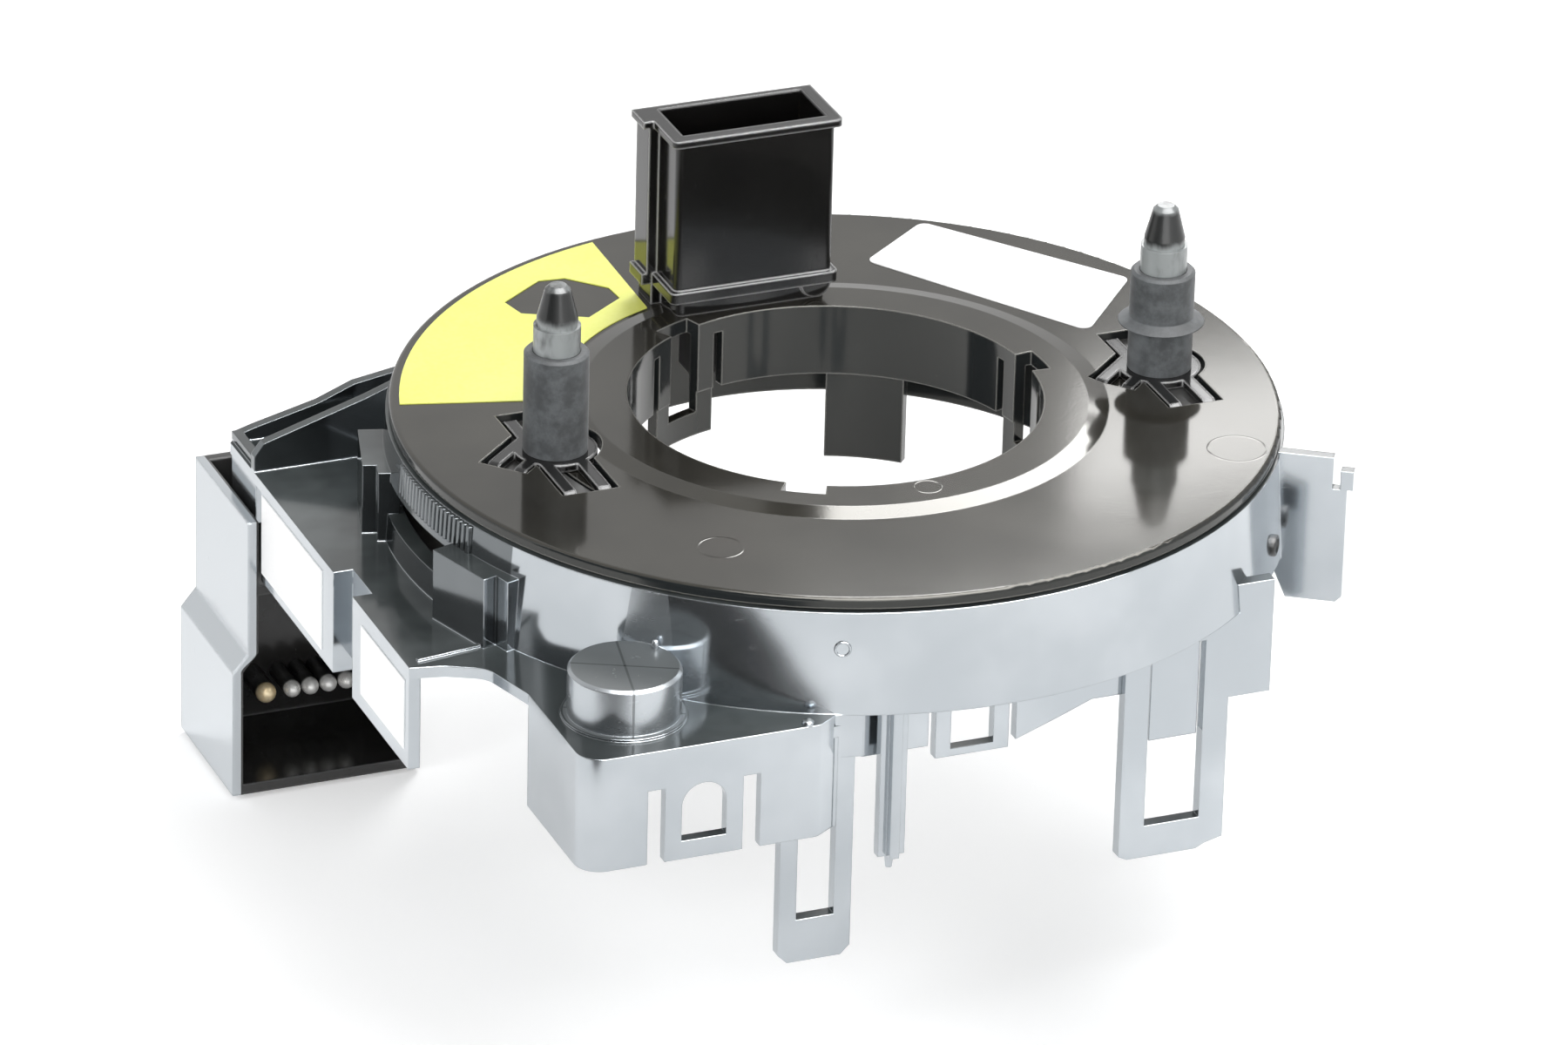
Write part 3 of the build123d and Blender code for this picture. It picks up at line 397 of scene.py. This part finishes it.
def blackPlastic(name, level, rough, worn, paintedSheenSide=False):
    look = blackLook
    shade = Shade(name)
    cloud = shade.noise(**look["cloud"])
    grain = shade.noise(**look["grain"])
    scratch = shade.noise(**look["scratch"]).step(*look["scratchRange"])
    tones = (grey(level, look["warm"]), grey(level * look["paleRatio"], look["warm"]))
    colour = shade.mix(cloud.step(*look["toneRange"]), *tones)
    # painted highlights on the edges, left out inside the mouth
    colour = shade.mix(shade.edges(look["wornReach"]) * (1 - inMouth(shade)), colour, grey(worn))
    metal = 0.0
    if paintedSheenSide:
        # painted sheen: the socket's outer side takes the stator's wall colour and metal
        outside = onSheenSide(shade)
        colour = shade.mix(outside, colour, statorLook["wall"])
        metal = outside * statorLook["metal"]
    return shade.surface({
        "Base Color": colour, "Metallic": metal,
        "Roughness": rough + cloud * look["cloudRough"] + scratch * look["scratchRough"],
        "Coat Weight": look["coat"], "Coat Roughness": look["coatRough"],
        "Normal": shade.bump(grain + scratch * look["scratchBump"], look["bump"], edge=look["edge"]),
    })


# Sleeve rubber: matte blue grey with a fine mottle
rubberLook = {
    "dark": (0.038, 0.042, 0.045, 1), "mid": (0.09, 0.099, 0.105, 1), "pale": (0.19, 0.205, 0.215, 1),
    "mottle": {"scale": 420, "detail": 5, "roughness": 0.65},
    "cloud": {"scale": 90, "detail": 3},
    "mottleRange": (0.35, 0.7), "cloudRange": (0.55, 0.75), "cloudShare": 0.4,
    "rough": 0.55, "mottleRough": 0.2, "sheen": 0.15, "bump": 0.3, "depth": 0.05, "edge": 0.15,
}


def sleeveRubber():
    look = rubberLook
    shade = Shade("sleeve rubber")
    mottle = shade.noise(**look["mottle"])
    cloud = shade.noise(**look["cloud"])
    colour = shade.mix(mottle.step(*look["mottleRange"]), look["dark"], look["mid"])
    colour = shade.mix(cloud.step(*look["cloudRange"]) * look["cloudShare"], colour, look["pale"])
    return shade.surface({
        "Base Color": colour, "Roughness": look["rough"] + mottle * look["mottleRough"],
        "Sheen Weight": look["sheen"],
        "Normal": shade.bump(mottle, look["bump"], look["depth"], look["edge"]),
    })


# Drive pins: a dark cone that is pale and worn below paleTop and at its tip, with borders that wander
pinLook = {
    "dark": (0.009, 0.010, 0.010, 1), "pale": (0.28, 0.30, 0.30, 1),
    "smear": {"scale": 260, "detail": 4, "roughness": 0.6, "stretch": (1, 1, 0.35)},
    "paleTop": 16.2, "fade": 0.5, "wander": 3.2,
    "tip": 20.0, "tipFull": 20.2, "tipWander": 0.4, "tipShare": 0.7,
    "smearRange": (0.3, 0.55), "rough": 0.25, "smearRough": 0.2, "coat": 0.3, "coatRough": 0.15,
    "bump": 0.15, "depth": 0.05, "edge": 0.15,
}


def pinPlastic():
    look = pinLook
    shade = Shade("pin moulding")
    height = shade.axis("Z")
    smear = shade.noise(**look["smear"])
    wander = (smear - 0.5) * (look["wander"] * mm)
    foot = (height + wander).stepMm(look["paleTop"] + look["fade"], look["paleTop"] - look["fade"])
    tip = (height + wander * look["tipWander"]).stepMm(look["tip"] - look["fade"], look["tipFull"])
    worn = (foot + tip * look["tipShare"]).math("MINIMUM", 1.0) * smear.step(*look["smearRange"])
    return shade.surface({
        "Base Color": shade.mix(worn, look["dark"], look["pale"]),
        "Roughness": look["rough"] + smear * look["smearRough"],
        "Coat Weight": look["coat"], "Coat Roughness": look["coatRough"],
        "Normal": shade.bump(smear, look["bump"], look["depth"], look["edge"]),
    })


# Labels: coated paper with a fine fibre and a faint cloud of tone
paperLook = {
    "fibre": {"scale": 1500, "detail": 4, "roughness": 0.7},
    "cloud": {"scale": 45, "detail": 3},
    "fibreShare": 0.35, "toneRange": (0.35, 0.65), "fibreRough": 0.12, "bump": 0.08,
}


def labelPaper(name, low, high, rough):
    look = paperLook
    shade = Shade(name)
    fibre = shade.noise(**look["fibre"])
    cloud = shade.noise(**look["cloud"])
    tone = fibre * look["fibreShare"] + cloud * (1 - look["fibreShare"])
    return shade.surface({
        "Base Color": shade.mix(tone.step(*look["toneRange"]), low, high),
        "Roughness": rough + fibre * look["fibreRough"],
        "Normal": shade.bump(fibre, look["bump"]),
    })


# Plated contacts: bright tips, with shafts painted dark as shade behind start and wholly so from full on
platedLook = {
    "stain": {"scale": 700, "detail": 4, "roughness": 0.6},
    "start": 39.4, "full": 40.0, "tarnish": grey(0.015),
    "toneRange": (0.35, 0.7), "rough": 0.22, "stainRough": 0.15, "bump": 0.1, "edge": 0.05,
}


def platedMetal(name, low, high, metal):
    look = platedLook
    shade = Shade(name)
    stain = shade.noise(**look["stain"])
    shaft = shade.axis("Y").stepMm(look["start"], look["full"])
    bright = shade.mix(stain.step(*look["toneRange"]), low, high)
    return shade.surface({
        # painted shade on the shafts, which also lose their metal
        "Base Color": shade.mix(shaft, bright, look["tarnish"]), "Metallic": (1 - shaft) * metal,
        "Roughness": look["rough"] + stain * look["stainRough"],
        "Normal": shade.bump(stain, look["bump"], edge=look["edge"]),
    })


# Thin films: laminated cable and slide foils
filmLook = {
    "streak": {"scale": 300, "detail": 3, "roughness": 0.6, "stretch": (1, 1, 8)},
    "toneRange": (0.35, 0.65), "rough": 0.3, "streakRough": 0.15, "coat": 0.2, "bump": 0.1,
}


def film(name, low, high):
    look = filmLook
    shade = Shade(name)
    streak = shade.noise(**look["streak"])
    return shade.surface({
        "Base Color": shade.mix(streak.step(*look["toneRange"]), low, high),
        "Roughness": look["rough"] + streak * look["streakRough"], "Coat Weight": look["coat"],
        "Normal": shade.bump(streak, look["bump"]),
    })


finishes = {
    "rotor_plastic": rotorPlastic(),
    "pin_plastic": pinPlastic(),
    "sleeve_rubber": sleeveRubber(),
    "slide_foil": film("slide foil", low=(0.035, 0.034, 0.032, 1), high=(0.07, 0.07, 0.068, 1)),
    "cable_film": film("cable film", low=(0.05, 0.047, 0.04, 1), high=(0.16, 0.15, 0.13, 1)),
    "terminal_plastic": blackPlastic("terminal moulding", level=0.05, rough=0.35, worn=0.1),
    "shroud_plastic": blackPlastic("shroud moulding", level=0.004, rough=0.08, worn=0.62),
    "contact_gold": platedMetal("gold plate", low=(0.86, 0.66, 0.36, 1), high=(0.98, 0.84, 0.58, 1),
                                metal=0.45),
    "contact_tin": platedMetal("tin plate", low=(0.8, 0.79, 0.76, 1), high=(0.95, 0.95, 0.93, 1),
                               metal=0.4),
    "stator_plastic": statorPlastic(),
    "socket_plastic": blackPlastic("socket moulding", level=0.012, rough=0.14, worn=0.08, paintedSheenSide=True),
    "label_yellow": labelPaper("yellow label", low=(0.80, 0.84, 0.14, 1), high=(0.86, 0.89, 0.21, 1),
                               rough=0.35),
    "label_white": labelPaper("white label", low=(0.93, 0.935, 0.94, 1), high=(0.98, 0.98, 0.98, 1),
                              rough=0.32),
}
slotOf = {row["node"]: row["material_slot"] for row in frame["record"]["subparts"]}
for nodeName, node in nodes.items():
    node.data.materials.clear()
    node.data.materials.append(finishes[slotOf[nodeName]])
print("finishes on", len(nodes), "CAD nodes")


# A piece from a grid of points in millimetres, rows by columns: quads between neighbours, the columns
# joined round, the rows joined round too or closed with a lid at each end
def gridPiece(name, body, slot, points, rowsJoined=False, smooth=True, replaced=()):
    rows, columns = points.shape[:2]
    index = np.arange(rows * columns).reshape(rows, columns)
    if rowsJoined:
        index = np.vstack((index, index[:1]))
    index = np.hstack((index, index[:, :1]))
    quads = np.stack((index[:-1, :-1], index[:-1, 1:], index[1:, 1:], index[1:, :-1]), axis=-1)
    faces = quads.reshape(-1, 4).tolist()
    if not rowsJoined:
        faces += [index[0, :-1][::-1].tolist(), index[-1, :-1].tolist()]
    mesh = bpy.data.meshes.new(name)
    mesh.from_pydata((points.reshape(-1, 3) * mm).tolist(), [], faces)
    shape = bmesh.new()
    shape.from_mesh(mesh)
    bmesh.ops.recalc_face_normals(shape, faces=shape.faces)
    shape.to_mesh(mesh)
    shape.free()
    mesh.polygons.foreach_set("use_smooth", np.full(len(mesh.polygons), smooth))
    mesh.materials.append(finishes[slot])
    piece = bpy.data.objects.new(name, mesh)
    bpy.context.scene.collection.objects.link(piece)
    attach(piece, body)
    if replaced:
        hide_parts(*replaced)


# Points of a turned shape: the profile's radius and height, swept round an axis through the centre
def turned(profile, centre, axis=(0, 0, 1), sides=28):
    radius, height = np.array(profile, float).T
    turn = np.linspace(0, 2 * pi, sides, endpoint=False)
    along = Vector(axis).normalized()
    side = along.orthogonal().normalized()
    other = along.cross(side)
    ring = np.cos(turn)[:, None] * np.array(side) + np.sin(turn)[:, None] * np.array(other)
    return np.array(centre) + radius[:, None, None] * ring[None] + height[:, None, None] * np.array(along)


# Outside of the skirt: the radius grows evenly by flare from top down to low
skirtLook = {"topRadius": 52.4, "flare": 0.8, "top": -1.6, "low": -14.1}


def skirtRadius(height):
    look = skirtLook
    return look["topRadius"] + look["flare"] * (look["top"] - height) / (look["top"] - look["low"])


# Comb of fine upright teeth on the skirt between the two blocks. Along the angle, in degrees, the radius
# rises by depth on each tooth. The teeth repeat at pitch and take up share of it, with slopes of soft at
# their sides, and the back of the piece lies inset deep in the skirt
combLook = {
    "start": 176.0, "end": 196.0, "pitch": 1.0, "samples": 12, "share": 0.66, "soft": 0.2,
    "low": -5.3, "top": -1.9, "depth": 0.3, "base": 0.04, "inset": 0.5,
}


def makeComb():
    look = combLook
    teeth = (look["end"] - look["start"]) / look["pitch"]
    angle = np.linspace(look["start"], look["end"], int(teeth * look["samples"]) + 1)
    phase = np.abs(((angle - look["start"]) / look["pitch"]) % 1 - 0.5) * 2  # 0 in the middle of a tooth
    tooth = np.clip((look["share"] - phase) / look["soft"] + 0.5, 0, 1)
    outer = look["base"] + look["depth"] * tooth
    inner = np.full_like(outer, -look["inset"])
    foot, head = skirtRadius(look["low"]), skirtRadius(look["top"])
    radii = np.stack((foot + inner, foot + outer, head + outer, head + inner), axis=1)
    heights = np.broadcast_to([look["low"], look["low"], look["top"], look["top"]], radii.shape)
    turn = np.radians(angle)[:, None]
    points = np.stack((radii * np.cos(turn), radii * np.sin(turn), heights), axis=2)
    gridPiece("skirt_comb", "stator", "stator_plastic", points, smooth=False)


# Small raised ring on the front of the skirt: a closed oval section carried round its own radial axis
markLook = {"angle": 249.0, "height": -6.0, "radius": 0.85, "width": 0.16, "rise": 0.14, "sides": 10}


def makeSkirtMark():
    look = markLook
    turn = radians(look["angle"])
    base = skirtRadius(look["height"])
    centre = (base * cos(turn), base * sin(turn), look["height"])
    bend = np.linspace(0, 2 * pi, look["sides"], endpoint=False)
    radius = look["radius"] + look["width"] * np.cos(bend)
    section = np.stack((radius, look["rise"] * np.sin(bend)), axis=1)
    points = turned(section, centre, axis=(cos(turn), sin(turn), 0))
    gridPiece("skirt_mark", "stator", "stator_plastic", points, rowsJoined=True)


# Studs and pips of the moulding: each one a turned profile of radius and height above its foot
studs = {
    "wall_stud": {"centre": (41.9, -32.7, -10.6), "axis": (0.79, -0.61, 0), "slot": "socket_plastic",
                  "profile": ((1.3, -1.0), (1.3, 0.1), (1.2, 0.28), (0.95, 0.34), (0.8, 0.1),
                              (0.05, 0.05))},
    "boss_pip": {"centre": (-37.2, -38.3, -8.6), "axis": (0, 0, 1), "slot": "stator_plastic",
                 "profile": ((0.42, 0), (0.42, 1.0), (0.34, 1.45), (0.2, 1.65), (0.04, 1.7))},
    "corner_pip": {"centre": (-23.4, -50.5, -14.1), "axis": (0, 0, 1), "slot": "stator_plastic",
                   "profile": ((0.75, 0), (0.7, 0.35), (0.5, 0.6), (0.2, 0.72), (0.04, 0.74))},
}


def makeStuds():
    for name, look in studs.items():
        gridPiece(name, "stator", look["slot"], turned(look["profile"], look["centre"], look["axis"]))


# Contacts in the harness socket: domed pins that point to the mouth, four of tin and one of gold. The
# dome's profile is a quarter of an ellipse. It starts at firstBend, so that the lid on the tip has a size
contactLook = {
    "tinCount": 4, "tinRadius": 1.05, "goldRadius": 1.25, "dome": 1.1, "tip": 38.4, "foot": 45.2,
    "firstBend": 0.02, "domeRows": 7, "sides": 24,
}


def domedPin(radius, centreX, centreZ):
    look = contactLook
    bend = np.linspace(look["firstBend"], pi / 2, look["domeRows"])
    dome = np.stack((radius * np.sin(bend), look["dome"] * np.cos(bend)), axis=1)
    domeFoot = look["tip"] + look["dome"]
    profile = np.vstack((dome, [[radius, domeFoot - look["foot"]]]))  # with the shaft's end behind the dome
    return turned(profile, (centreX, domeFoot, centreZ), axis=(0, -1, 0), sides=look["sides"])


def makeContacts():
    look = contactLook
    low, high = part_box("harness_pins")
    half = 0.5 * (high[2] - low[2])  # half a pin's thickness: the outer pins' axes stand in by that much
    for number, x in enumerate(np.linspace(low[0] + half, high[0] - half, look["tinCount"])):
        points = domedPin(look["tinRadius"], x / mm, (low[2] + half) / mm)
        gridPiece(f"tin_pin_{number + 1}", "stator", "contact_tin", points, replaced=("harness_pins",))
    low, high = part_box("airbag_pin")
    points = domedPin(look["goldRadius"], 0.5 * (low[0] + high[0]) / mm, 0.5 * (low[2] + high[2]) / mm)
    gridPiece("gold_pin", "stator", "contact_gold", points, replaced=("airbag_pin",))


makeComb()
makeSkirtMark()
makeStuds()
makeContacts()
print("comb, mark, studs and contacts")


# A flat sheet between four corners in metres, for the stage
def flatSheet(name, corners, material):
    mesh = bpy.data.meshes.new(name)
    mesh.from_pydata(corners, [], [(0, 1, 2, 3)])
    mesh.materials.append(material)
    made = bpy.data.objects.new(name, mesh)
    bpy.context.scene.collection.objects.link(made)
    return made


# Floor: pale, and glowing where the camera or gloss sees it
floorLook = {"drop": 0.6 * mm, "half": 3.0, "colour": grey(0.9), "rough": 0.9, "glow": 0.3}


def makeFloor():
    look = floorLook
    level = cadLow.z - look["drop"]
    corners = [(x * look["half"], y * look["half"], level) for x, y in ((-1, -1), (1, -1), (1, 1), (-1, 1))]
    shade = Shade("floor")
    shade.material.cycles.emission_sampling = "NONE"  # so that the dark cards hide the glow behind them
    floor = flatSheet("floor", corners, shade.surface({
        "Base Color": look["colour"], "Roughness": look["rough"], "Specular IOR Level": 0.0,
        "Emission Color": shade.mix(shade.seen(), grey(0), grey(look["glow"])), "Emission Strength": 1.0,
    }))


# Sky: white to the camera and to gloss. As a light it has a level for each height, from the horizon at 0 to
# straight above at 1
skyLook = {"levels": ((0.0, 0.78), (0.25, 0.72), (0.6, 0.42), (1.0, 0.28))}


def makeSky():
    world = bpy.data.worlds.new("studio")
    bpy.context.scene.world = world
    world.use_nodes = True
    world.cycles.sampling_method = "NONE"  # so that the dark cards hide the sky behind them
    sky = Tree(world.node_tree)
    toward = sky.make("ShaderNodeTexCoord", {}, {})["Generated"]
    height = sky.make("ShaderNodeSeparateXYZ", {}, {"Vector": toward})["Z"]
    stops = [(place, grey(level)) for place, level in skyLook["levels"]]
    light = sky.make("ShaderNodeValToRGB", {"stops": stops}, [height])["Color"]
    back = sky.make("ShaderNodeBackground", {}, {"Color": sky.mix(sky.seen(), light, grey(1))})[0]
    sky.make("ShaderNodeOutputWorld", {}, {"Surface": back})


# Dark cards that show only in the object's gloss: the low one in the skirt beside the boss, the high one in
# the tops of the boss and the plate as the skirt shows them, and one at the back where the ring's bright
# band ends. Corners are in millimetres
cardTone = grey(0.01)
cards = {
    "low_card": ((-96, -54, -14), (-71, -79, -16), (-42, -108, -37), (-96, -54, -31)),
    "high_card": ((-120, -10, -14), (-120, -10, 60), (-54, -120, 60), (-54, -120, -14)),
    "ring_card": ((80, 300, 340), (119, 300, 340), (119, 300, 450), (80, 300, 450)),
}


def makeCards():
    for name, corners in cards.items():
        dull = Shade(name).surface({"Base Color": cardTone, "Roughness": 1.0, "Specular IOR Level": 0.0})
        card = flatSheet(name, [[value * mm for value in corner] for corner in corners], dull)
        card.visible_camera = False
        card.visible_diffuse = False
        card.visible_shadow = False


# Each lamp stands at its place and faces a point, in metres. The last two stand at the back, where the
# ring's slope and the disc mirror them, and the edge panel shows in gloss only
lamps = {
    "frontSoftbox": {"place": (-0.25, -0.9, 0.35), "facing": (0, 0, 0), "size": (0.8, 0.5), "watts": 5},
    "topSoftbox": {"place": (0.2, 0.1, 0.8), "facing": (0, 0, 0), "size": (0.5, 0.3), "watts": 1.4},
    "leftSoftbox": {"place": (-0.9, -0.1, 0.5), "facing": (0, 0, 0), "size": (0.6, 0.6), "watts": 2.5},
    "edgePanel": {"place": (0.12, -0.3, 0.62), "facing": (0, 0, 0), "size": (0.9, 0.7), "watts": 22,
                  "glossOnly": True},
    "ringPanel": {"place": (0.231, 0.3, 0.335), "facing": (0.231, 0, 0.335), "size": (0.218, 0.26),
                  "watts": 2.5},
    "pinPanel": {"place": (0.218, 0.3, 0.171), "facing": (0.218, 0, 0.171), "size": (0.104, 0.022),
                 "watts": 0.046},
}


def makeLamps():
    for name, look in lamps.items():
        data = bpy.data.lights.new(name, "AREA")
        data.shape = "RECTANGLE"
        data.size, data.size_y = look["size"]
        data.energy = look["watts"]
        lamp = bpy.data.objects.new(name, data)
        place = Vector(look["place"])
        turn = (Vector(look["facing"]) - place).to_track_quat("-Z", "Y").to_matrix().to_4x4()
        lamp.matrix_world = Matrix.Translation(place) @ turn
        lamp.visible_camera = False
        lamp.visible_diffuse = not look.get("glossOnly", False)
        bpy.context.scene.collection.objects.link(lamp)


# Camera, from the photograph: turned, tilted and slightly rolled, with a long lens
cameraLook = {
    "azimuth": 22.5, "elevation": 26.274, "roll": 1.53, "distance": 1200 * mm,
    "right": 5.991 * mm, "up": 14.491 * mm, "focalPixels": 11824.14, "imageWidth": 1800, "sensor": 36.0,
    "clipStart": 0.05, "clipEnd": 20,
}


def makeCamera():
    look = cameraLook
    azimuth, elevation, roll = (radians(look[key]) for key in ("azimuth", "elevation", "roll"))
    turn = Matrix.Rotation(-azimuth, 3, "Z")
    upright = Vector((0, sin(elevation), cos(elevation)))
    level = Vector((1, 0, 0))
    right = turn @ (level * cos(roll) + upright * sin(roll))
    up = turn @ (upright * cos(roll) - level * sin(roll))
    forward = turn @ Vector((0, cos(elevation), -sin(elevation)))
    place = -(right * look["right"] + up * look["up"] + forward * look["distance"])
    data = bpy.data.cameras.new("camera")
    data.sensor_width = look["sensor"]
    data.lens = look["sensor"] * look["focalPixels"] / look["imageWidth"]
    data.clip_start = look["clipStart"]
    data.clip_end = look["clipEnd"]
    camera = bpy.data.objects.new("camera", data)
    camera.matrix_world = Matrix.Translation(place) @ Matrix((right, up, -forward)).transposed().to_4x4()
    bpy.context.scene.collection.objects.link(camera)
    bpy.context.scene.camera = camera


makeFloor()
makeSky()
makeCards()
makeLamps()
makeCamera()
bpy.context.scene.view_settings.view_transform = "Standard"
print("stage, lamps and camera")
